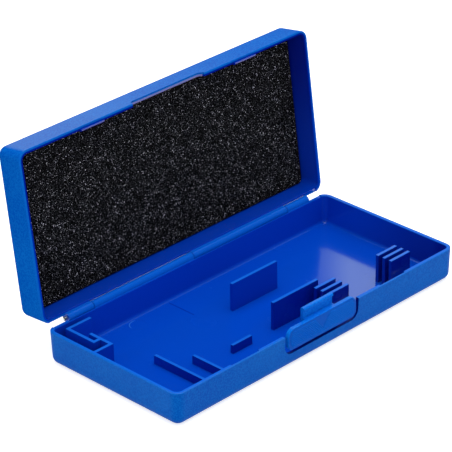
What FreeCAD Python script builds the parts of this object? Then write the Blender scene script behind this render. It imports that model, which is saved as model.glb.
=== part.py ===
import FreeCAD, Part
import math
import os

# Hinged plastic case for a small hand tool: a ribbed tray, a lid lined with
# foam, a steel hinge pin and a snap latch with a finger pad.
# Millimetres. +X runs along the length, +Y towards the hinge, +Z up. The
# origin is the middle of the tray's underside. The lid is written closed, in
# the tray's own frame, and then turned open about the hinge pin.

V = FreeCAD.Vector

# Shells
case_length = 200.0
case_width = 90.6
tray_height = 18.3
lid_height = 18.0
wall = 2.0
tray_floor = 2.4
lid_roof = 1.6
draft_angle = 2.2
corner_radius = 5.3
tray_edge_radius = 4.5
lid_edge_radius = 4.2
inner_edge_radius = 2.0
rim_rounding = 0.2
parting_gap = 0.2
open_angle = 97.2

# Hinge
pin_diameter = 2.0
pin_end_chamfer = 0.3
pin_running_clearance = 0.05
pin_left_stand_out = 2.0
pin_right_set_back = 1.0
barrel_diameter = 4.5
barrel_from_left = 15.1
barrel_from_right = 12.7
end_knuckle_length = 16.6
knuckle_end_gap = 0.4
knuckle_side_clearance = 0.3
hinge_set_back = 1.3
gusset_drop = 4.5
back_rim_relief = 0.6
back_rim_relief_end = 4.2
heel_start = 2.0
heel_depth = 3.8
heel_width = 1.7
heel_gap = 0.15

# Opening in the front wall for the latch
window_width = 53.0
window_sill = 7.5
window_corner_radius = 5.0
notch_side_clearance = 0.5
notch_top_clearance = 0.6
notch_corner_radius = 3.0

# Latch
pad_side_gap = 2.1
pad_above_sill = 2.0
pad_above_rim = 2.7
pad_thickness = 2.2
pad_stand_out = 0.2
pad_lower_radius = 3.5
pad_upper_radius = 4.3
pad_edge_rounding = 0.4
pad_ridge_pitch = 1.0
pad_ridge_foot = 0.8
pad_ridge_height = 0.25
pad_ridge_root = 0.2
pad_ridge_margin = 1.6
arrow_width = 10.6
arrow_height = 6.3
arrow_from_top = 1.5
lever_width = 21.0
lever_thickness = 1.6
lever_below_sill = 2.3
lever_bridge_margin = 1.5
hook_above_rim = 8.5
hook_bead_radius = 0.9
hook_side_clearance = 0.2
catch_overhang = 2.5
catch_clearance = 0.2
pivot_above_sill = 3.5
pivot_from_wall = 2.0
trunnion_diameter = 2.5
trunnion_running_clearance = 0.05
ear_side_gap = 0.5
ear_thickness = 2.2
ear_rim = 1.5
ear_pad_gap = 0.6
ear_slot_share = 0.8
latch_stop_gap = 0.15
latch_stop_width = 3.2
leaf_thickness = 0.8
leaf_width = 12.0
leaf_reach = 7.6
leaf_bend_radius = 3.0
leaf_floor_gap = 0.8

# Tabs on the lid's front rim and their pockets in the tray's rim
tab_spacing = 106.0
tab_length = 15.0
tab_thickness = 1.2
tab_drop = 1.6
tab_root = 3.0
tab_tip_chamfer = 0.6
tab_outer_clearance = 0.2
tab_pocket_wall = 1.1
tab_side_clearance = 2.0
tab_end_clearance = 0.4

# Ribs in the tray, each placed by its middle line
rib_foot = 2.0
rib_crest = 1.7
tall_rib_below_rim = 0.3
low_rib_height = 4.7
corner_leg_from_side = 6.7
corner_leg_from_back = 4.5
corner_leg_length = 15.0
pocket_rib_from_side = 11.0
pocket_rib_back_end = 15.8
pocket_far_from_back = 23.0
pocket_near_from_back = 30.4
long_stop_from_side = 30.8
long_stop_length = 46.5
short_stop_from_side = 43.4
short_stop_length = 32.8
cross_stop_centre_x = -28.6
cross_stop_length = 13.4
cross_stop_from_front = 25.7
rail_centre_x = 11.1
rail_length = 32.6
back_rail_from_back = 31.3
front_rail_from_front = 27.0
comb_count = 3
comb_pitch = 4.4
comb_from_front = 12.5
comb_length = 14.4
middle_comb_centre_x = 27.0
right_comb_from_side = 24.3

# Foam lining
foam_thickness = 5.2
foam_side_clearance = 0.3
film_thickness = 0.2
film_inset = 3.0
film_corner_radius = 4.0

# Values that follow from the sizes above
draft_slope = math.tan(math.radians(draft_angle))
closed_height = tray_height + lid_height
lid_rim_z = tray_height + parting_gap
side_inner_x = case_length / 2 - wall
front_inner_y = -(case_width / 2 - wall)
back_inner_y = case_width / 2 - wall
hinge_y = case_width / 2 + hinge_set_back
hinge_z = tray_height
pin_radius = pin_diameter / 2
barrel_radius = barrel_diameter / 2
scoop_radius = barrel_radius + knuckle_side_clearance
tall_rib_top = tray_height - tall_rib_below_rim
low_rib_top = tray_floor + low_rib_height
barrel_start_x = -case_length / 2 + barrel_from_left
barrel_end_x = case_length / 2 - barrel_from_right
pad_width = window_width - 2 * pad_side_gap
pad_bottom = window_sill + pad_above_sill
pad_top = tray_height + pad_above_rim
pad_front_y = -case_width / 2 - pad_stand_out
pad_back_y = pad_front_y + pad_thickness
lever_bottom = window_sill - lever_below_sill
hook_top = tray_height + hook_above_rim
hook_centre_z = hook_top - hook_bead_radius
lid_catch_wall_y = front_inner_y + (hook_centre_z - tray_height) * draft_slope
lever_front_y = lid_catch_wall_y + hook_side_clearance + hook_bead_radius
lever_back_y = lever_front_y + lever_thickness
catch_radius = lever_front_y - catch_clearance - lid_catch_wall_y
pivot_height = window_sill + pivot_above_sill
pivot_wall_y = front_inner_y + (tray_height - pivot_height) * draft_slope
pivot_y = pivot_wall_y + pivot_from_wall
trunnion_radius = trunnion_diameter / 2
foam_roof_z = closed_height - lid_roof
overshoot = 1.0


def rounded_rectangle(length, width, radius, z):
    """Closed wire of four straight sides and four corner arcs, about the Z axis."""
    half_x = length / 2
    half_y = width / 2
    edges = []
    corner = radius * (1 - math.sqrt(0.5))
    turns = ((1, 1), (-1, 1), (-1, -1), (1, -1))
    for index, (sx, sy) in enumerate(turns):
        along_x = V(sx * (half_x - radius), sy * half_y, z)
        along_y = V(sx * half_x, sy * (half_y - radius), z)
        middle = V(sx * (half_x - corner), sy * (half_y - corner), z)
        first, last = (along_y, along_x) if sx * sy > 0 else (along_x, along_y)
        edges.append(Part.Arc(first, middle, last).toShape())
        nx, ny = turns[(index + 1) % 4]
        if sx * sy > 0:
            start = V(nx * (half_x - radius), ny * half_y, z)
        else:
            start = V(nx * half_x, ny * (half_y - radius), z)
        edges.append(Part.makeLine(last, start))
    return Part.Wire(edges)


def drafted_block(rim_z, end_z, inset, end_rounding, past_rim=0.0):
    """Solid that narrows with the draft from the rim to its end, its end edge rounded."""
    away = 1 if rim_z > end_z else -1
    wires = []
    for depth in (-past_rim, abs(rim_z - end_z)):
        shrink = inset + depth * draft_slope
        length = case_length - 2 * shrink
        width = case_width - 2 * shrink
        radius = corner_radius - shrink
        wires.append(rounded_rectangle(length, width, radius, rim_z - away * depth))
    block = Part.makeLoft(wires, True, True)
    end_edges = [edge for edge in block.Edges if flat_at(edge, end_z)]
    return block.makeFillet(min(end_rounding, radius * 0.99), end_edges)


def flat_at(edge, z):
    """Whether an edge lies in the level plane at z."""
    box = edge.BoundBox
    return abs(box.ZMin - z) < 0.001 and abs(box.ZMax - z) < 0.001


def prism_along_x(points, x_start, x_end):
    """Solid with the given outline of (y, z) points, from one x to another."""
    corners = [V(x_start, y, z) for y, z in points]
    face = Part.Face(Part.makePolygon(corners + corners[:1]))
    return face.extrude(V(x_end - x_start, 0, 0))


def prism_along_y(points, y_start, y_end):
    """Solid with the given outline of (x, z) points, from one y to another."""
    corners = [V(x, y_start, z) for x, z in points]
    face = Part.Face(Part.makePolygon(corners + corners[:1]))
    return face.extrude(V(0, y_end - y_start, 0))


def box_between(x_start, x_end, y_start, y_end, z_start, z_end):
    """Box from its low corner to its high corner."""
    return Part.makeBox(
        x_end - x_start, y_end - y_start, z_end - z_start, V(x_start, y_start, z_start)
    )


def rod_along_x(radius, x_start, x_end, y, z):
    """Round rod along the X direction."""
    return Part.makeCylinder(radius, x_end - x_start, V(x_start, y, z), V(1, 0, 0))


def rounded_plate(width, bottom, top, lower_radius, upper_radius, y_start, y_end):
    """Upright plate across Y, with its own radius at the lower and upper corners."""
    plate = box_between(-width / 2, width / 2, y_start, y_end, bottom, top)
    for z, radius in ((bottom, lower_radius), (top, upper_radius)):
        corners = [
            edge
            for edge in plate.Edges
            if flat_at(edge, z) and edge.BoundBox.XLength < 0.001
        ]
        plate = plate.makeFillet(radius, corners)
    return plate


def turned_open(shape):
    """The shape turned about the hinge pin from closed to open."""
    turned = shape.copy()
    turned.rotate(V(0, hinge_y, hinge_z), V(1, 0, 0), -open_angle)
    return turned


def knuckle_joints():
    """The x of the barrel's two ends and of the joints between its four knuckles."""
    return (
        barrel_start_x,
        barrel_start_x + end_knuckle_length,
        (barrel_start_x + barrel_end_x) / 2,
        barrel_end_x - end_knuckle_length,
        barrel_end_x,
    )


def knuckle_spans(first):
    """The x spans of every second knuckle, with half the end gap taken off each joint."""
    joints = knuckle_joints()
    spans = []
    for index in range(first, len(joints) - 1, 2):
        start = joints[index]
        end = joints[index + 1]
        if index > 0:
            start += knuckle_end_gap / 2
        if index < len(joints) - 2:
            end -= knuckle_end_gap / 2
        spans.append((start, end))
    return spans


def gusset_outline(side):
    """Web from the barrel to the back wall: below the pin for side -1, above it for 1."""
    tangent = barrel_radius * math.sqrt(0.5)
    foot_y = hinge_y - hinge_set_back - gusset_drop * draft_slope
    inside_wall_y = case_width / 2 - wall / 2
    foot_z = hinge_z + side * gusset_drop
    return [
        (hinge_y, hinge_z),
        (hinge_y + tangent, hinge_z + side * tangent),
        (foot_y, foot_z),
        (inside_wall_y, foot_z),
        (inside_wall_y, hinge_z + side * back_rim_relief),
    ]


def heel_outline():
    """Heel of a lid knuckle that meets the tray's back wall when the lid stands open."""
    wall_y = -hinge_set_back + heel_gap
    tangent = barrel_radius * math.sqrt(0.5)
    open_points = (
        (wall_y - heel_start * draft_slope, -heel_start),
        (wall_y - heel_depth * draft_slope, -heel_depth),
        (wall_y + heel_width, -heel_depth),
        (tangent, -tangent),
        (0.0, 0.0),
    )
    turn = math.radians(open_angle)
    points = []
    for y, z in open_points:
        closed_y = y * math.cos(turn) - z * math.sin(turn)
        closed_z = y * math.sin(turn) + z * math.cos(turn)
        points.append((hinge_y + closed_y, hinge_z + closed_z))
    return points


def knuckles(spans, side, with_heel):
    """Barrel knuckles with their gussets, still to be bored for the pin."""
    pieces = []
    for start, end in spans:
        knuckle = rod_along_x(barrel_radius, start, end, hinge_y, hinge_z)
        knuckle = knuckle.fuse(prism_along_x(gusset_outline(side), start, end))
        if with_heel:
            knuckle = knuckle.fuse(prism_along_x(heel_outline(), start, end))
        pieces.append(knuckle)
    return pieces


def bore_tool(radius):
    """Rod that bores every knuckle of one half."""
    start = barrel_start_x - overshoot
    return rod_along_x(radius, start, barrel_end_x + overshoot, hinge_y, hinge_z)


def scoops(spans):
    """Hollows in one half's back wall round the other half's knuckles."""
    tools = []
    for start, end in spans:
        grow = knuckle_end_gap
        tools.append(
            rod_along_x(scoop_radius, start - grow, end + grow, hinge_y, hinge_z)
        )
    return tools


def back_rim_cut(rim_z, side):
    """Tool that lowers the back rim between the corners, side 1 for the tray's."""
    half = case_length / 2 - back_rim_relief_end
    z_low, z_high = sorted((rim_z - side * back_rim_relief, rim_z + side * overshoot))
    y_low = back_inner_y - overshoot
    return box_between(-half, half, y_low, hinge_y, z_low, z_high)


def rounded_rim(shell, rim_z):
    """Round the outer rim edge along the front, the sides and the front corners."""
    outline = rounded_rectangle(case_length, case_width, corner_radius, rim_z)
    back_corner_y = case_width / 2 - corner_radius
    edges = []
    for edge in shell.Edges:
        middle = edge.valueAt((edge.FirstParameter + edge.LastParameter) / 2)
        off_outline = outline.distToShape(Part.Vertex(middle))[0]
        if off_outline < 0.001 and middle.y < back_corner_y:
            edges.append(edge)
    return shell.makeFillet(rim_rounding, edges)


def rib(x_start, y_start, x_end, y_end, top_z):
    """Moulded rib on the tray's floor, thinner at its crest, along X or along Y."""
    foot = rib_foot / 2
    crest = rib_crest / 2
    low_z = tray_floor - tray_floor / 4
    if abs(x_end - x_start) > abs(y_end - y_start):
        outline = [
            (y_start - foot, low_z),
            (y_start + foot, low_z),
            (y_start + crest, top_z),
            (y_start - crest, top_z),
        ]
        return prism_along_x(outline, x_start, x_end)
    outline = [
        (x_start - foot, low_z),
        (x_start + foot, low_z),
        (x_start + crest, top_z),
        (x_start - crest, top_z),
    ]
    return prism_along_y(outline, y_start, y_end)


def corner_ribs():
    """The angled rib and the small square pocket in the left back corner."""
    half = rib_crest / 2
    leg_x = -side_inner_x + corner_leg_from_side
    leg_y = back_inner_y - corner_leg_from_back
    pocket_x = -side_inner_x + pocket_rib_from_side
    far_y = back_inner_y - pocket_far_from_back
    near_y = back_inner_y - pocket_near_from_back
    pocket_back_y = back_inner_y - pocket_rib_back_end
    in_wall_x = -side_inner_x - wall / 4
    return [
        rib(leg_x - half, leg_y, leg_x + corner_leg_length, leg_y, tall_rib_top),
        rib(leg_x, far_y, leg_x, leg_y, tall_rib_top),
        rib(leg_x - half, far_y, pocket_x, far_y, tall_rib_top),
        rib(pocket_x, near_y - half, pocket_x, pocket_back_y, tall_rib_top),
        rib(in_wall_x, near_y, pocket_x, near_y, tall_rib_top),
    ]


def low_ribs():
    """Three low stops near the front wall."""
    in_wall_y = front_inner_y - wall / 4
    long_x = -side_inner_x + long_stop_from_side
    short_x = -side_inner_x + short_stop_from_side
    cross_y = front_inner_y + cross_stop_from_front
    cross_start = cross_stop_centre_x - cross_stop_length / 2
    cross_end = cross_stop_centre_x + cross_stop_length / 2
    long_end = front_inner_y + long_stop_length
    short_end = front_inner_y + short_stop_length
    return [
        rib(long_x, in_wall_y, long_x, long_end, low_rib_top),
        rib(short_x, in_wall_y, short_x, short_end, low_rib_top),
        rib(cross_start, cross_y, cross_end, cross_y, low_rib_top),
    ]


def rails():
    """Two tall rails on either side of the tool's place."""
    start = rail_centre_x - rail_length / 2
    end = rail_centre_x + rail_length / 2
    back_y = back_inner_y - back_rail_from_back
    front_y = front_inner_y + front_rail_from_front
    return [
        rib(start, back_y, end, back_y, tall_rib_top),
        rib(start, front_y, end, front_y, tall_rib_top),
    ]


def comb(centre_x):
    """Row of short tall ribs, one behind the other."""
    start = centre_x - comb_length / 2
    end = centre_x + comb_length / 2
    first_y = front_inner_y + comb_from_front
    ribs = []
    for number in range(comb_count):
        y = first_y + number * comb_pitch
        ribs.append(rib(start, y, end, y, tall_rib_top))
    return ribs


def latch_ear(side):
    """Ear that carries one trunnion, with a snap-in slot and a stop for the lever."""
    inner = lever_width / 2 + ear_side_gap
    outer = inner + ear_thickness
    x_low, x_high = sorted((side * inner, side * outer))
    radius = trunnion_radius + trunnion_running_clearance
    front_y = pad_back_y + ear_pad_gap
    back_y = pivot_y + radius + ear_rim
    top_z = pivot_height + radius + ear_rim
    low_z = tray_floor / 2
    ear = box_between(x_low, x_high, front_y, back_y, low_z, top_z)
    stop_inner = lever_width / 2 - latch_stop_width
    sx_low, sx_high = sorted((side * stop_inner, side * outer))
    stop_y = lever_back_y + latch_stop_gap
    stop_top = lever_bottom + (pivot_height - lever_bottom) / 2
    stop = box_between(sx_low, sx_high, stop_y, stop_y + rib_crest, low_z, stop_top)
    ear = ear.fuse(stop)
    bore_low = x_low - overshoot
    bore_high = x_high + overshoot
    bore = rod_along_x(radius, bore_low, bore_high, pivot_y, pivot_height)
    half = radius * ear_slot_share
    slot_top = top_z + overshoot
    slot = box_between(
        bore_low, bore_high, pivot_y - half, pivot_y + half, pivot_height, slot_top
    )
    return ear.cut([bore, slot])


def tab_pocket(side):
    """Pocket in the inner side of the tray's front rim for one of the lid's tabs."""
    centre = side * tab_spacing / 2
    half = tab_length / 2 + tab_side_clearance
    outer_y = -case_width / 2 + tab_pocket_wall
    return box_between(
        centre - half,
        centre + half,
        outer_y,
        front_inner_y + overshoot,
        tray_height - parting_gap - tab_drop - tab_end_clearance,
        tray_height + overshoot,
    )


def tab(side):
    """Locating tab that hangs from the lid's front rim, tapered on its inner side."""
    centre = side * tab_spacing / 2
    outer_y = -case_width / 2 + tab_pocket_wall + tab_outer_clearance
    inner_y = outer_y + tab_thickness
    tip_z = lid_rim_z - tab_drop
    outline = [
        (outer_y, lid_rim_z + overshoot),
        (outer_y, tip_z),
        (inner_y - tab_tip_chamfer, tip_z),
        (inner_y, tip_z + tab_tip_chamfer),
        (inner_y, lid_rim_z + tab_root / 2),
        (front_inner_y - wall / 4, lid_rim_z + tab_root),
    ]
    return prism_along_x(outline, centre - tab_length / 2, centre + tab_length / 2)


def base_tray():
    """Tray with its ribs, latch opening and ears, tab pockets and hinge knuckles."""
    outer = drafted_block(tray_height, 0.0, 0.0, tray_edge_radius)
    cavity = drafted_block(
        tray_height, tray_floor, wall, inner_edge_radius, past_rim=overshoot
    )
    shell = outer.cut(cavity)
    window = rounded_plate(
        window_width,
        window_sill,
        tray_height + 2 * window_corner_radius,
        window_corner_radius,
        window_corner_radius,
        -case_width / 2 - overshoot,
        front_inner_y + overshoot,
    )
    shell = shell.cut([window, back_rim_cut(tray_height, 1)])
    shell = rounded_rim(shell, tray_height)
    shell = shell.cut(scoops(knuckle_spans(0)) + [tab_pocket(-1), tab_pocket(1)])
    inside = corner_ribs() + low_ribs() + rails()
    inside += comb(middle_comb_centre_x)
    inside += comb(side_inner_x - right_comb_from_side)
    inside += [latch_ear(-1), latch_ear(1)]
    trimmed = [piece.common(outer) for piece in inside]
    own = knuckles(knuckle_spans(1), -1, with_heel=False)
    shell = shell.fuse(trimmed + own).removeSplitter()
    return shell.cut(bore_tool(pin_radius))


def catch_ridge():
    """Half-round ridge inside the lid's front wall, under the latch's bead when closed."""
    reach = hook_bead_radius + catch_radius + catch_clearance
    offset = lever_front_y - lid_catch_wall_y
    drop = math.sqrt(max(reach * reach - offset * offset, 0.0))
    half = lever_width / 2 + catch_overhang
    return rod_along_x(
        catch_radius,
        -half,
        half,
        lid_catch_wall_y,
        hook_centre_z - drop,
    )


def lid_shell():
    """Lid with its front notch, catch ridge, tabs and hinge knuckles, written closed."""
    outer = drafted_block(lid_rim_z, closed_height, 0.0, lid_edge_radius)
    cavity = drafted_block(
        lid_rim_z, foam_roof_z, wall, inner_edge_radius, past_rim=overshoot
    )
    shell = outer.cut(cavity)
    notch = rounded_plate(
        pad_width + 2 * notch_side_clearance,
        lid_rim_z - 2 * notch_corner_radius,
        pad_top + notch_top_clearance,
        notch_corner_radius,
        notch_corner_radius,
        -case_width / 2 - overshoot,
        front_inner_y + overshoot,
    )
    shell = shell.cut([notch, back_rim_cut(lid_rim_z, -1)])
    shell = rounded_rim(shell, lid_rim_z)
    shell = shell.cut(scoops(knuckle_spans(1)))
    own = knuckles(knuckle_spans(0), 1, with_heel=True)
    shell = shell.fuse(own + [catch_ridge(), tab(-1), tab(1)]).removeSplitter()
    return shell.cut(bore_tool(pin_radius + pin_running_clearance))


def hinge_pin():
    """Straight steel pin through all four knuckles."""
    start = barrel_start_x - pin_left_stand_out
    end = barrel_end_x - pin_right_set_back
    pin = rod_along_x(pin_radius, start, end, hinge_y, hinge_z)
    rims = [edge for edge in pin.Edges if edge.BoundBox.XLength < 0.001]
    return pin.makeChamfer(pin_end_chamfer, rims)


def arrow_outline(margin):
    """Corners of the plain arrowhead on the finger pad, pointing down."""
    top = pad_top - arrow_from_top + margin
    half = arrow_width / 2 + margin
    return [(-half, top), (half, top), (0.0, top - arrow_height - 2 * margin)]


def pad_ridges():
    """Fine level ridges on the finger pad, left out round the arrowhead."""
    low = pad_bottom + pad_ridge_margin
    high = pad_top - pad_ridge_margin
    count = int((high - low) / pad_ridge_pitch) + 1
    start_z = (low + high) / 2 - (count - 1) * pad_ridge_pitch / 2
    half_foot = pad_ridge_foot / 2
    root_y = pad_front_y + pad_ridge_root
    ridges = []
    for number in range(count):
        z = start_z + number * pad_ridge_pitch
        from_end = min(z - pad_bottom, pad_top - z)
        radius = pad_lower_radius if z - pad_bottom < pad_top - z else pad_upper_radius
        short = max(radius - from_end, 0.0)
        half = pad_width / 2 - pad_ridge_margin - short / 2
        outline = [
            (root_y, z - half_foot),
            (pad_front_y, z - half_foot),
            (pad_front_y - pad_ridge_height, z),
            (pad_front_y, z + half_foot),
            (root_y, z + half_foot),
        ]
        ridges.append(prism_along_x(outline, -half, half))
    clear_outline = arrow_outline(pad_ridge_height)
    clear = prism_along_y(clear_outline, pad_front_y - overshoot, pad_front_y)
    return [ridge.cut(clear) for ridge in ridges]


def spring_leaf():
    """Thin leaf that curves from the lever's foot back over the tray's floor."""
    low_z = tray_floor + leaf_floor_gap
    bend_y = lever_back_y - leaf_thickness + leaf_bend_radius
    bend_z = low_z + leaf_bend_radius
    tip_y = lever_back_y + leaf_reach
    inner = leaf_bend_radius - leaf_thickness
    x = -leaf_width / 2
    diagonal = math.sqrt(0.5)
    outer_start = V(x, bend_y - leaf_bend_radius, bend_z)
    outer_end = V(x, bend_y, bend_z - leaf_bend_radius)
    outer_middle = V(
        x, bend_y - leaf_bend_radius * diagonal, bend_z - leaf_bend_radius * diagonal
    )
    inner_start = V(x, bend_y - inner, bend_z)
    inner_end = V(x, bend_y, bend_z - inner)
    inner_middle = V(x, bend_y - inner * diagonal, bend_z - inner * diagonal)
    root_z = bend_z + leaf_thickness
    root_low = V(x, bend_y - leaf_bend_radius, root_z)
    root_high = V(x, bend_y - inner, root_z)
    tip_low = V(x, tip_y, low_z)
    tip_high = V(x, tip_y, low_z + leaf_thickness)
    edges = [
        Part.makeLine(root_low, outer_start),
        Part.Arc(outer_start, outer_middle, outer_end).toShape(),
        Part.makeLine(outer_end, tip_low),
        Part.makeLine(tip_low, tip_high),
        Part.makeLine(tip_high, inner_end),
        Part.Arc(inner_end, inner_middle, inner_start).toShape(),
        Part.makeLine(inner_start, root_high),
        Part.makeLine(root_high, root_low),
    ]
    return Part.Face(Part.Wire(edges)).extrude(V(leaf_width, 0, 0))


def snap_latch():
    """Finger pad, lever with its hook bead, trunnions and spring leaf in one moulding."""
    pad = rounded_plate(
        pad_width,
        pad_bottom,
        pad_top,
        pad_lower_radius,
        pad_upper_radius,
        pad_front_y,
        pad_back_y,
    )
    front_edges = [
        edge
        for edge in pad.Edges
        if abs(edge.BoundBox.YMin - pad_front_y) < 0.001
        and abs(edge.BoundBox.YMax - pad_front_y) < 0.001
    ]
    pad = pad.makeFillet(pad_edge_rounding, front_edges)
    half = lever_width / 2
    lever = box_between(
        -half, half, lever_front_y, lever_back_y, lever_bottom, hook_centre_z
    )
    bridge_low = pad_bottom + lever_bridge_margin
    bridge_y = pad_back_y - pad_thickness / 4
    bridge = box_between(-half, half, bridge_y, lever_back_y, bridge_low, pad_top)
    crest = prism_along_x(
        [
            (lever_front_y, hook_centre_z - hook_bead_radius),
            (lever_back_y, hook_centre_z - hook_bead_radius),
            (lever_back_y, hook_top - hook_bead_radius / 2),
            (lever_back_y - hook_bead_radius / 2, hook_top),
            (lever_front_y, hook_top),
        ],
        -half,
        half,
    )
    bead = rod_along_x(hook_bead_radius, -half, half, lever_front_y, hook_centre_z)
    reach = half + ear_side_gap + ear_thickness
    trunnions = rod_along_x(trunnion_radius, -reach, reach, pivot_y, pivot_height)
    boss = rod_along_x(
        trunnion_radius + lever_thickness / 2, -half, half, pivot_y, pivot_height
    )
    parts = [lever, bridge, crest, bead, trunnions, boss, spring_leaf()]
    latch = pad.fuse(parts + pad_ridges())
    return latch.removeSplitter()


def foam_pad():
    """Soft foam lining that fills the lid's hollow down from the film, written closed."""
    hollow = drafted_block(
        lid_rim_z, foam_roof_z, wall + foam_side_clearance, inner_edge_radius
    )
    top = foam_roof_z - film_thickness
    slab = box_between(
        -case_length, case_length, -case_width, case_width, top - foam_thickness, top
    )
    return hollow.common(slab)


def adhesive_film():
    """Thin double-sided film between the foam and the lid's roof, written closed."""
    inset = wall + (foam_roof_z - lid_rim_z) * draft_slope + film_inset
    outline = rounded_rectangle(
        case_length - 2 * inset,
        case_width - 2 * inset,
        film_corner_radius,
        foam_roof_z - film_thickness,
    )
    return Part.Face(outline).extrude(V(0, 0, film_thickness))


def write(shape, node):
    """Check that a node is one closed solid and write it."""
    if not shape.isValid() or len(shape.Solids) != 1:
        raise ValueError(node + " is not one valid solid")
    shape.Solids[0].exportStep("parts/" + node + ".step")


def main():
    os.makedirs("parts", exist_ok=True)
    write(base_tray(), "base_tray")
    write(hinge_pin(), "hinge_pin")
    write(snap_latch(), "snap_latch")
    write(turned_open(lid_shell()), "lid_shell")
    write(turned_open(foam_pad()), "foam_pad")
    write(turned_open(adhesive_film()), "foam_adhesive_film")


main()
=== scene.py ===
import math

import bmesh
import bpy
from mathutils import Matrix, Vector, noise

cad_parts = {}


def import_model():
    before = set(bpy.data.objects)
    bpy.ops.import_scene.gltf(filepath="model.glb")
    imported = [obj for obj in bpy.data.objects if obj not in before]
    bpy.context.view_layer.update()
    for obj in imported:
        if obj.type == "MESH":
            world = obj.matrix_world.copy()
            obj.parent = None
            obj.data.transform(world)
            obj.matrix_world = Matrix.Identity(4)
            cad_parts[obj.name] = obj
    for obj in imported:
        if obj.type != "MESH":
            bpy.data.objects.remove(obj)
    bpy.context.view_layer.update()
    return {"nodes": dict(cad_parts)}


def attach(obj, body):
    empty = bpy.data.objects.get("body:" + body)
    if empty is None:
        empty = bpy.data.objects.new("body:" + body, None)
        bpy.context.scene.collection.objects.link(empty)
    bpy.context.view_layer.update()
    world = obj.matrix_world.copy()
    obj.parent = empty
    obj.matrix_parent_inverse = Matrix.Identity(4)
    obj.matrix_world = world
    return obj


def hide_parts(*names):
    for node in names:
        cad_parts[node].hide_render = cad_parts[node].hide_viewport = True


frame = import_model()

# Where things are, in metres, in the case's own frame
OPEN_ANGLE = math.radians(97.2)
HINGE = Vector((0.0, 0.0466, 0.0183))
RIM = 0.0183
LID_RIM = 0.0185
SLOPE = math.tan(math.radians(2.2))


def lid_turn(point):
    """A point of the closed lid, turned open about the hinge pin."""
    turned = Matrix.Rotation(-OPEN_ANGLE, 3, "X") @ (Vector(point) - HINGE)
    return turned + HINGE


class Nodes:
    """Short hand for building a material's node tree."""

    def __init__(self, name):
        self.material = bpy.data.materials.new(name)
        self.material.use_nodes = True
        self.tree = self.material.node_tree
        self.tree.nodes.clear()

    def add(self, kind, inputs=(), **settings):
        node = self.tree.nodes.new("ShaderNode" + kind)
        for key, value in settings.items():
            setattr(node, key, value)
        for key, value in dict(inputs).items():
            if isinstance(value, bpy.types.NodeSocket):
                self.tree.links.new(value, node.inputs[key])
            else:
                node.inputs[key].default_value = value
        return node

    def math(self, operation, first, second=0.0, third=0.0, clamp=False):
        values = {0: first, 1: second, 2: third}
        node = self.add("Math", values, operation=operation, use_clamp=clamp)
        return node.outputs[0]

    def ramp(self, value, low, high, out_low=0.0, out_high=1.0, smooth=True):
        kind = "SMOOTHSTEP" if smooth else "LINEAR"
        inputs = {"Value": value, 1: low, 2: high, 3: out_low, 4: out_high}
        return self.add("MapRange", inputs, interpolation_type=kind).outputs[0]

    def mix_color(self, factor, first, second):
        node = self.add("Mix", {0: factor, 6: first, 7: second}, data_type="RGBA")
        return node.outputs[2]

    def noise(self, place, scale, detail=2.0, roughness=0.5):
        inputs = {"Vector": place, "Scale": scale, "Detail": detail, "Roughness": roughness}
        return self.add("TexNoise", inputs).outputs[0]

    def place(self, closed_lid=False):
        """Object coordinates, turned back to the closed lid's where asked."""
        coordinates = self.add("TexCoord").outputs["Object"]
        if not closed_lid:
            return coordinates
        back = Matrix.Rotation(OPEN_ANGLE, 3, "X")
        shift = HINGE - back @ HINGE
        inputs = {"Vector": coordinates, "Location": shift, "Rotation": (OPEN_ANGLE, 0, 0)}
        return self.add("Mapping", inputs).outputs[0]

    def finish(self, shader):
        output = self.add("OutputMaterial", {"Surface": shader})
        output.is_active_output = True
        return self.material


def outside_mask(n, place, rim, up):
    """1 on a shell's outer skin and 0 inside it, from the place alone."""
    x, y, z = n.add("SeparateXYZ", {0: place}).outputs
    depth = n.math("MULTIPLY", n.math("SUBTRACT", z, rim), float(up))
    past_x = n.math("MAXIMUM", n.math("SUBTRACT", n.math("ABSOLUTE", x), 0.0947), 0.0)
    past_y = n.math("MAXIMUM", n.math("SUBTRACT", n.math("ABSOLUTE", y), 0.0400), 0.0)
    out = n.add("VectorMath", {0: n.add("CombineXYZ", {0: past_x, 1: past_y}).outputs[0]}, operation="LENGTH")
    side = n.math("ADD", out.outputs["Value"], n.math("MULTIPLY", depth, SLOPE))
    side = n.math("MAXIMUM", n.math("SUBTRACT", side, 0.0010), 0.0)
    end = n.math("MAXIMUM", n.math("SUBTRACT", depth, 0.0137), 0.0)
    skin = n.add("VectorMath", {0: n.add("CombineXYZ", {0: side, 1: end}).outputs[0]}, operation="LENGTH")
    return n.ramp(skin.outputs["Value"], 0.0030, 0.0036)


def painted_crest_highlights(n, place, outside, facing_up):
    """Painted highlights where the tray's ribs end: tall ones just under the rim, low ones further down."""
    z = n.add("SeparateXYZ", {0: place}).outputs[2]
    tall = n.ramp(z, 0.01775, 0.01790)
    low = n.ramp(n.math("ABSOLUTE", n.math("SUBTRACT", z, 0.0071)), 0.00008, 0.00022, 1.0, 0.0)
    low = n.math("MULTIPLY", low, n.ramp(facing_up, 0.3, 0.6))
    inside = n.math("SUBTRACT", 1.0, outside)
    return n.math("MULTIPLY", n.math("ADD", tall, low, clamp=True), inside)


def barrel_mask(n, place):
    """1 on the hinge barrel and 0 away from it."""
    to_axis = n.add("VectorMath", {0: place, 1: (0, HINGE.y, HINGE.z)}, operation="SUBTRACT").outputs[0]
    flat = n.add("VectorMath", {0: to_axis, 1: (0, 1, 1)}, operation="MULTIPLY").outputs[0]
    away = n.add("VectorMath", {0: flat}, operation="LENGTH").outputs["Value"]
    return n.ramp(away, 0.0024, 0.0027, 1.0, 0.0)


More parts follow.
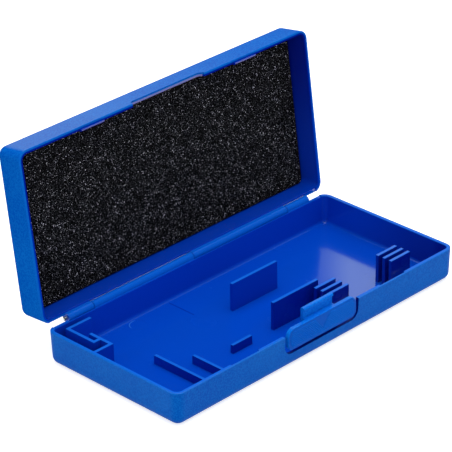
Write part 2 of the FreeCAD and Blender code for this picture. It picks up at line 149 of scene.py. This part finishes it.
def moulded_plastic(name, rim=None, up=1, marks=(), shine=0.08, bright=1.0, inner=1.0, up_sheen_share=1.0):
    """Blue moulded plastic: fine grain on the outside, smooth and glossy inside."""
    n = Nodes(name)
    place = n.place(closed_lid=up > 0 and rim is not None)
    facing_up = n.add("SeparateXYZ", {0: n.add("NewGeometry").outputs["Normal"]}).outputs[2]
    if rim is None:
        outside = n.ramp(n.noise(place, 90.0), 0.0, 0.1)
    else:
        outside = outside_mask(n, place, rim, up)
    grain = n.noise(place, 2300.0, 3.0, 0.6)
    speckle = n.noise(place, 1250.0, 2.0, 0.5)
    cloud = n.noise(place, 38.0, 3.0)
    scuff = n.noise(place, 420.0, 4.0, 0.7)

    tone = n.math("ADD", n.math("MULTIPLY", cloud, 0.4), n.math("MULTIPLY", grain, 0.6))
    spread = n.math("ADD", n.ramp(speckle, 0.36, 0.64, 0.0, 0.7), n.ramp(cloud, 0.3, 0.7, 0.0, 0.3))
    outer_blue = n.mix_color(spread, scaled(0.0, 0.080, 0.465, bright), scaled(0.003, 0.138, 0.560, bright))
    inner_wall = n.mix_color(tone, scaled(0.0, 0.039, 0.520, inner), scaled(0.0, 0.047, 0.575, inner))
    # Painted sheen: the greener blue that inner faces turned upward get.
    inner_up_painted_sheen = n.mix_color(tone, scaled(0.0, 0.055, 0.520, inner), scaled(0.0, 0.066, 0.575, inner))
    y = n.add("SeparateXYZ", {0: place}).outputs[1]
    # Painted shade: the inner walls turn darker towards the front of the case.
    inner_wall = n.mix_color(n.ramp(y, -0.030, 0.030, 1.0, 0.0), inner_wall, scaled(0.0, 0.013, 0.330, inner))
    # Painted sheen: upward-facing inner faces take the greener blue, by the given share.
    inner_blue = n.mix_color(n.ramp(facing_up, 0.2, 0.9, 0.0, up_sheen_share), inner_wall, inner_up_painted_sheen)
    color = n.mix_color(outside, inner_blue, outer_blue)
    gloss = n.math("SUBTRACT", 1.0, outside)
    if rim is not None:
        depth = n.math("ABSOLUTE", n.math("SUBTRACT", n.add("SeparateXYZ", {0: place}).outputs[2], rim))
        barrel = barrel_mask(n, place)
        # Painted highlight: the hinge barrel gets a lighter blue than the rest of the shell.
        color = n.mix_color(barrel, color, scaled(0.0, 0.108, 0.640, bright))
        # Painted highlight: a lighter blue line on the outer skin just by the rim, kept off the barrel.
        edge = n.math("MULTIPLY", n.ramp(depth, 0.0001, 0.0006, 0.35, 0.0), outside)
        edge = n.math("MULTIPLY", edge, n.math("SUBTRACT", 1.0, barrel))
        color = n.mix_color(edge, color, scaled(0.006, 0.175, 0.780, bright))
        gloss = n.math("MULTIPLY", gloss, n.ramp(depth, 0.0002, 0.0005))
        gloss = n.math("MAXIMUM", gloss, n.math("MULTIPLY", barrel, 0.4))
    if up < 0:
        along = n.add("VectorMath", {0: place, 1: (1.287, -1.41, 0.0)}, operation="DOT_PRODUCT").outputs["Value"]
        gloss = n.math("MULTIPLY", gloss, n.ramp(along, 0.060, 0.095, 0.3, 1.0))
        # Painted highlight: the rib tops are mixed towards a lighter blue.
        color = n.mix_color(painted_crest_highlights(n, place, outside, facing_up), color, scaled(0.006, 0.128, 0.700, bright))
    strip = n.ramp(n.add("SeparateXYZ", {0: place}).outputs[0], -0.09, 0.09, 0.42, 0.10)
    gloss = n.math("MAXIMUM", gloss, n.math("MULTIPLY", n.math("MULTIPLY", n.ramp(facing_up, 0.90, 0.98), strip), outside))

    rough_out = n.ramp(scuff, 0.3, 0.7, 0.47, 0.58)
    rough_in = n.ramp(cloud, 0.3, 0.7, 0.20, 0.28)
    rough = n.add("Mix", {0: outside, 2: rough_in, 3: rough_out}).outputs[0]

    height = n.math("MULTIPLY", grain, n.ramp(outside, 0.0, 1.0, 0.10, 1.0))
    # Each mark adds its dent and colour: the hinge gap, window and ridge valleys are painted shade, and the
    # ring's lit arc is a painted highlight.
    for mark in marks:
        pressed, shade, tint = mark(n, place)
        height = n.math("SUBTRACT", height, pressed)
        color = n.mix_color(shade, color, tint)
        gloss = n.math("MULTIPLY", gloss, n.math("SUBTRACT", 1.0, shade))
    rounded = n.add("Bevel", {"Radius": 0.0003}, samples=4).outputs[0]
    inputs = {"Strength": 0.35, "Distance": 0.00006, "Height": height, "Normal": rounded}
    bump = n.add("Bump", inputs).outputs[0]
    shader = n.add("BsdfPrincipled", {
        "Base Color": color, "Roughness": rough, "Normal": bump,
        "IOR": 1.5, "Specular IOR Level": shine, "Specular Tint": (0.0, 0.4, 1.0, 1.0),
        "Coat Weight": gloss, "Coat Roughness": 0.11,
        "Coat IOR": 1.85, "Coat Normal": bump,
    })
    return n.finish(shader.outputs[0])


def scaled(red, green, blue, factor):
    """A colour made lighter or darker by one factor."""
    return (red * factor, green * factor, blue * factor, 1.0)


def ring_mark(x, y, radius, strength):
    """A round ejector mark pressed into the tray's floor, with a painted highlight on the side of its edge that
    faces the light.
    """
    def mark(n, place):
        from_middle = n.add("VectorMath", {0: place, 1: (x, y, 0.0024)}, operation="SUBTRACT").outputs[0]
        away = n.add("VectorMath", {0: from_middle}, operation="LENGTH").outputs["Value"]
        off = n.math("ABSOLUTE", n.math("SUBTRACT", away, radius))
        ring = n.ramp(off, 0.00005, 0.00032, 1.0, 0.0)
        lit = n.add("VectorMath", {0: from_middle, 1: (-0.55, 0.83, 0.0)}, operation="DOT_PRODUCT")
        lit = n.ramp(lit.outputs["Value"], radius * 0.45, radius * 0.85)
        # The light blue on the lit arc is a painted highlight.
        shine = n.math("MULTIPLY", ring, n.math("MULTIPLY", lit, 0.55))
        return n.math("MULTIPLY", ring, strength), shine, (0.06, 0.30, 0.85, 1)
    return mark


def line_mark(x, y_low, y_high, strength):
    """A faint straight joint line of the mould across the tray's floor."""
    def mark(n, place):
        px, py, pz = n.add("SeparateXYZ", {0: place}).outputs
        line = n.ramp(n.math("ABSOLUTE", n.math("SUBTRACT", px, x)), 0.0001, 0.00045, 1.0, 0.0)
        inside = n.math("MULTIPLY", n.math("GREATER_THAN", py, y_low), n.math("LESS_THAN", py, y_high))
        line = n.math("MULTIPLY", line, n.math("MULTIPLY", inside, n.math("LESS_THAN", pz, 0.0028)))
        return n.math("MULTIPLY", line, strength), n.math("MULTIPLY", line, 0.9), (0.0, 0.012, 0.30, 1)
    return mark


def hinge_gap_painted_shade(x_low, x_high, rim, up):
    """Painted shade: the dark line where a shell's edge meets the other shell's knuckle."""
    def mark(n, place):
        px, py, pz = n.add("SeparateXYZ", {0: place}).outputs
        depth = n.math("MULTIPLY", n.math("SUBTRACT", pz, rim), float(up))
        line = n.ramp(depth, 0.0002, 0.0005, 1.0, 0.0)
        along = n.math("MULTIPLY", n.math("GREATER_THAN", px, x_low), n.math("LESS_THAN", px, x_high))
        across = n.math("MULTIPLY", n.math("GREATER_THAN", py, 0.0424), n.math("LESS_THAN", py, 0.0440))
        line = n.math("MULTIPLY", line, n.math("MULTIPLY", along, across))
        # The near-black tint is painted shade for the gap.
        return n.math("MULTIPLY", line, 0.0), n.math("MULTIPLY", line, 0.9), (0.004, 0.0, 0.08, 1)
    return mark


def window_painted_shade():
    """Painted shade on the cut of the latch's window, behind the finger pad."""
    def mark(n, place):
        px, py, pz = n.add("SeparateXYZ", {0: place}).outputs
        inside = n.math("LESS_THAN", n.math("ABSOLUTE", px), 0.02656)
        inside = n.math("MULTIPLY", inside, n.math("GREATER_THAN", pz, 0.0074))
        behind_skin = n.math("ADD", py, n.math("MULTIPLY", pz, SLOPE))
        inside = n.math("MULTIPLY", inside, n.math("GREATER_THAN", behind_skin, -0.0451 + RIM * SLOPE))
        inside = n.math("MULTIPLY", inside, n.math("LESS_THAN", py, -0.0410))
        # The dark navy tint is painted shade inside the window.
        return n.math("MULTIPLY", inside, 0.0), n.math("MULTIPLY", inside, 0.92), (0.0, 0.0, 0.15, 1)
    return mark


def ridge_painted_shade():
    """Painted shade in the valleys between the finger pad's fine ridges."""
    def mark(n, place):
        front = n.math("MULTIPLY", n.add("SeparateXYZ", {0: place}).outputs[1], -1.0)
        valley = n.ramp(front, 0.04550, 0.04568, 1.0, 0.0, smooth=False)
        valley = n.math("MULTIPLY", valley, n.math("GREATER_THAN", front, 0.04545))
        # The darker blue in the valleys is painted shade.
        return n.math("MULTIPLY", valley, 0.0), n.math("MULTIPLY", valley, 0.6), (0.0, 0.050, 0.40, 1)
    return mark


def steel():
    """Bright drawn steel, with the drawing lines along the pin."""
    n = Nodes("drawn_steel")
    place = n.place()
    lines = n.noise(n.add("Mapping", {0: place, "Scale": (60, 2500, 2500)}).outputs[0], 1.0, 3.0)
    cloud = n.noise(place, 300.0, 2.0)
    color = n.mix_color(cloud, (0.42, 0.43, 0.45, 1), (0.68, 0.69, 0.70, 1))
    axis = (-1.0, HINGE.y, HINGE.z)
    to_axis = n.add("VectorMath", {0: place, 1: axis}, operation="SUBTRACT").outputs[0]
    flat = n.add("VectorMath", {0: to_axis, 1: (0, 1, 1)}, operation="MULTIPLY").outputs[0]
    away = n.add("VectorMath", {0: flat}, operation="LENGTH").outputs["Value"]
    # Painted shade: the chamfer ring at the pin's end is painted near black.
    chamfer = n.math("MULTIPLY", n.ramp(away, 0.00056, 0.00070), n.ramp(away, 0.00095, 0.00099, 1.0, 0.0))
    color = n.mix_color(chamfer, color, (0.03, 0.03, 0.035, 1))
    rough = n.ramp(lines, 0.3, 0.7, 0.22, 0.42)
    bump = n.add("Bump", {"Strength": 0.2, "Distance": 0.00003, "Height": lines}).outputs[0]
    inputs = {"Base Color": color, "Metallic": 1.0, "Roughness": rough, "Normal": bump}
    return n.finish(n.add("BsdfPrincipled", inputs).outputs[0])


def foam():
    """Open-cell charcoal foam: dark pits, grey cell walls and a few bright glints painted into its colour."""
    n = Nodes("charcoal_foam")
    place = n.place()
    cells = n.add("TexVoronoi", {"Vector": place, "Scale": 4300.0}, feature="F1")
    chance = n.add("SeparateColor", {0: cells.outputs["Color"]}).outputs[0]
    rare = n.math("LOGARITHM", n.math("MAXIMUM", chance, 0.001), math.e)
    # Painted glints: a few rare cells are made bright in the base colour.
    speck = n.math("POWER", n.math("ABSOLUTE", rare), 3.6)
    patch = n.ramp(n.noise(place, 160.0, 3.0), 0.3, 0.7, 0.8, 1.2)
    light = n.math("MULTIPLY", n.math("MULTIPLY", speck, 0.0019), patch)
    light = n.math("ADD", light, 0.00002)
    color = n.add("CombineColor", {0: light, 1: light, 2: n.math("MULTIPLY", light, 1.12)})
    bump = n.add("Bump", {"Strength": 0.5, "Distance": 0.0003, "Height": chance}).outputs[0]
    shader = n.add("BsdfPrincipled", {
        "Base Color": color.outputs[0], "Roughness": n.ramp(patch, 0.8, 1.2, 0.8, 0.95),
        "Normal": bump, "Specular IOR Level": 0.03,
    })
    return n.finish(shader.outputs[0])


def film():
    """Milky double-sided film behind the foam."""
    n = Nodes("milky_film")
    place = n.place()
    cloud = n.noise(place, 60.0, 3.0)
    color = n.mix_color(cloud, (0.55, 0.56, 0.56, 1), (0.72, 0.73, 0.72, 1))
    rough = n.ramp(cloud, 0.3, 0.7, 0.3, 0.5)
    return n.finish(n.add("BsdfPrincipled", {"Base Color": color, "Roughness": rough}).outputs[0])


def dress(node, material):
    """Give one CAD node its material."""
    data = frame["nodes"][node].data
    data.materials.clear()
    data.materials.append(material)


def foam_lining():
    """The lid's foam as its own soft slab: crowned edges and a slightly uneven face."""
    face_z, back_z = 0.0293, 0.0345
    half_x, half_y, corner = 0.0973, 0.0426, 0.0026
    step = 0.0013
    count_x, count_y = int(2 * half_x / step), int(2 * half_y / step)
    mesh = bmesh.new()
    rows = []
    for j in range(count_y + 1):
        row = []
        for i in range(count_x + 1):
            x = -half_x + 2 * half_x * i / count_x
            y = -half_y + 2 * half_y * j / count_y
            over = Vector((max(abs(x) - half_x + corner, 0), max(abs(y) - half_y + corner, 0)))
            if over.length > corner:
                over *= corner / over.length
                x = math.copysign(half_x - corner + over.x, x)
                y = math.copysign(half_y - corner + over.y, y)
            edge = min(half_x - abs(x), half_y - abs(y))
            if over.x > 0 and over.y > 0:
                edge = corner - over.length
            crown = 0.0009 * max(1 - max(edge, 0) / 0.0016, 0) ** 2
            swell = 0.00018 * noise.noise(Vector((x * 30, y * 30, 1.0)))
            fuzz = 0.00012 * noise.noise(Vector((x * 520, y * 520, 4.0)))
            z = face_z + crown + swell + fuzz + 0.0001
            row.append(mesh.verts.new(lid_turn((x, y, z))))
        rows.append(row)
    for j in range(count_y):
        for i in range(count_x):
            corners = rows[j][i], rows[j + 1][i], rows[j + 1][i + 1], rows[j][i + 1]
            mesh.faces.new(corners)
    rim = rows[0] + [row[-1] for row in rows[1:]]
    rim += rows[-1][-2::-1] + [row[0] for row in rows[-2:0:-1]]
    into = lid_turn((0, 0, back_z)) - lid_turn((0, 0, face_z))
    previous = rim
    for share in (0.33, 0.67, 1.0):
        ring = []
        for vert, top in zip(rim, previous):
            ring.append(mesh.verts.new(vert.co + (into * 0.97) * share))
        for k in range(len(rim)):
            nxt = (k + 1) % len(rim)
            mesh.faces.new((previous[k], previous[nxt], ring[nxt], ring[k]))
        previous = ring
    mesh.faces.new(previous)
    bmesh.ops.recalc_face_normals(mesh, faces=mesh.faces)
    data = bpy.data.meshes.new("foam_lining")
    mesh.to_mesh(data)
    mesh.free()
    data.polygons.foreach_set("use_smooth", [True] * len(data.polygons))
    piece = bpy.data.objects.new("foam_lining", data)
    bpy.context.scene.collection.objects.link(piece)
    data.materials.append(foam())
    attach(piece, "lid")
    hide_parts("foam_pad")
    return piece


def seen_directly(n):
    """1 for camera, glossy and transmission rays, for the white surroundings."""
    path = n.add("LightPath").outputs
    seen = n.math("ADD", path["Is Camera Ray"], path["Is Glossy Ray"])
    return n.math("ADD", seen, path["Is Transmission Ray"], clamp=True)


def floor():
    """Wide white floor that keeps a soft shadow."""
    n = Nodes("white_floor")
    place = n.place()
    paper = n.noise(place, 900.0, 3.0)
    tone = n.mix_color(paper, (0.80, 0.80, 0.80, 1), (0.83, 0.83, 0.83, 1))
    diffuse = n.add("BsdfDiffuse", {"Color": tone}).outputs[0]
    glow = n.add("Emission", {"Strength": n.math("MULTIPLY", seen_directly(n), 0.67)}).outputs[0]
    shader = n.add("AddShader", {0: diffuse, 1: glow}).outputs[0]
    material = n.finish(shader)
    data = bpy.data.meshes.new("studio_floor")
    corners = [(-6, -6, 0), (6, -6, 0), (6, 6, 0), (-6, 6, 0)]
    data.from_pydata(corners, [], [(0, 1, 2, 3)])
    data.materials.append(material)
    plane = bpy.data.objects.new("studio_floor", data)
    plane.location.z = -0.0002
    bpy.context.scene.collection.objects.link(plane)


def world():
    """White surroundings, dimmer where they only light the object."""
    sky = bpy.data.worlds.new("studio")
    bpy.context.scene.world = sky
    sky.use_nodes = True
    tree = sky.node_tree
    tree.nodes.clear()
    path = tree.nodes.new("ShaderNodeLightPath")
    place = tree.nodes.new("ShaderNodeTexCoord")
    toward = tree.nodes.new("ShaderNodeVectorMath")
    backdrop = tree.nodes.new("ShaderNodeMapRange")
    mirrored = tree.nodes.new("ShaderNodeMix")
    seen = tree.nodes.new("ShaderNodeMath")
    strength = tree.nodes.new("ShaderNodeMix")
    tint = tree.nodes.new("ShaderNodeMix")
    light = tree.nodes.new("ShaderNodeBackground")
    output = tree.nodes.new("ShaderNodeOutputWorld")
    toward.operation = "DOT_PRODUCT"
    toward.inputs[1].default_value = BACKDROP
    backdrop.interpolation_type = "SMOOTHSTEP"
    for index, value in enumerate((0.5, 0.92, 0.05, 1.0), 1):
        backdrop.inputs[index].default_value = value
    seen.use_clamp = True
    mirrored.inputs[2].default_value = WORLD_LIGHT
    strength.inputs[3].default_value = 1.0
    tree.links.new(place.outputs["Generated"], toward.inputs[0])
    tree.links.new(toward.outputs["Value"], backdrop.inputs["Value"])
    tree.links.new(path.outputs["Is Glossy Ray"], mirrored.inputs[0])
    tree.links.new(backdrop.outputs[0], mirrored.inputs[3])
    tree.links.new(path.outputs["Is Camera Ray"], seen.inputs[0])
    tree.links.new(path.outputs["Is Transmission Ray"], seen.inputs[1])
    tree.links.new(seen.outputs[0], strength.inputs[0])
    tree.links.new(mirrored.outputs[0], strength.inputs[2])
    tint.data_type = "RGBA"
    tint.inputs[6].default_value = (1.0, 1.0, 1.0, 1.0)
    tint.inputs[7].default_value = (0.84, 1.0, 0.88, 1.0)
    tree.links.new(path.outputs["Is Glossy Ray"], tint.inputs[0])
    tree.links.new(tint.outputs[2], light.inputs["Color"])
    tree.links.new(strength.outputs[0], light.inputs["Strength"])
    tree.links.new(light.outputs[0], output.inputs[0])


WORLD_LIGHT = 0.66
BACKDROP = (0.62, 0.62, 0.47)
LAMPS = {
    "top": ((0.05, 0.05, 1.3), 1.0, 9.8),
    "left": ((-1.2, -0.2, 0.8), 0.9, 1.15),
    "front": ((0.1, -1.3, 0.8), 0.9, 1.15),
}


def lamps():
    """Large soft lamps, each aimed at the case."""
    for name, (place, size, power) in LAMPS.items():
        data = bpy.data.lights.new(name, "AREA")
        data.shape = "SQUARE"
        data.size = size
        data.energy = power
        lamp = bpy.data.objects.new(name, data)
        lamp.location = place
        lamp.rotation_euler = (Vector((0, 0, 0.03)) - lamp.location).to_track_quat("-Z", "Y").to_euler()
        bpy.context.scene.collection.objects.link(lamp)


def camera():
    """Camera with the photograph's angle and distance."""
    azimuth, elevation, roll = (math.radians(v) for v in (-45.3692, 27.8260, -0.9243))
    back = Vector((
        math.sin(azimuth) * math.cos(elevation),
        -math.cos(azimuth) * math.cos(elevation),
        math.sin(elevation),
    ))
    right = (-back).cross(Vector((0, 0, 1))).normalized()
    up = right.cross(-back)
    turned_right = right * math.cos(roll) + up * math.sin(roll)
    turned_up = up * math.cos(roll) - right * math.sin(roll)
    data = bpy.data.cameras.new("camera")
    data.sensor_width = 36.0
    data.lens = 207.476
    data.shift_x = -0.01836
    data.shift_y = 0.00647
    data.clip_start = 0.05
    data.clip_end = 50.0
    eye = bpy.data.objects.new("camera", data)
    eye.matrix_world = Matrix((
        (turned_right.x, turned_up.x, back.x, CAMERA_PLACE[0]),
        (turned_right.y, turned_up.y, back.y, CAMERA_PLACE[1]),
        (turned_right.z, turned_up.z, back.z, CAMERA_PLACE[2]),
        (0, 0, 0, 1),
    ))
    bpy.context.scene.collection.objects.link(eye)
    bpy.context.scene.camera = eye


CAMERA_PLACE = (-0.8147, -0.7900, 0.6503)

tray_marks_and_painted_light = (
    ring_mark(-0.047, 0.036, 0.0046, 4.0),
    line_mark(-0.021, 0.0227, 0.0407, 3.0),
    hinge_gap_painted_shade(0.0002, 0.0695, RIM, -1),
    window_painted_shade(),
)
lid_painted_shade = (hinge_gap_painted_shade(-0.0425, -0.0002, LID_RIM, 1),)
dress("base_tray", moulded_plastic("tray_plastic", RIM, -1, tray_marks_and_painted_light))
# Painted shade: the lid's inside is made 8% darker than the tray's inside.
dress("lid_shell", moulded_plastic("lid_plastic", LID_RIM, 1, lid_painted_shade, shine=0.0, inner=0.92, up_sheen_share=0.25))
dress("snap_latch", moulded_plastic("latch_plastic", marks=(ridge_painted_shade(),), bright=1.36))
dress("hinge_pin", steel())
dress("foam_adhesive_film", film())
foam_lining()
floor()
world()
lamps()
camera()

scene = bpy.context.scene
scene.view_settings.view_transform = "Standard"
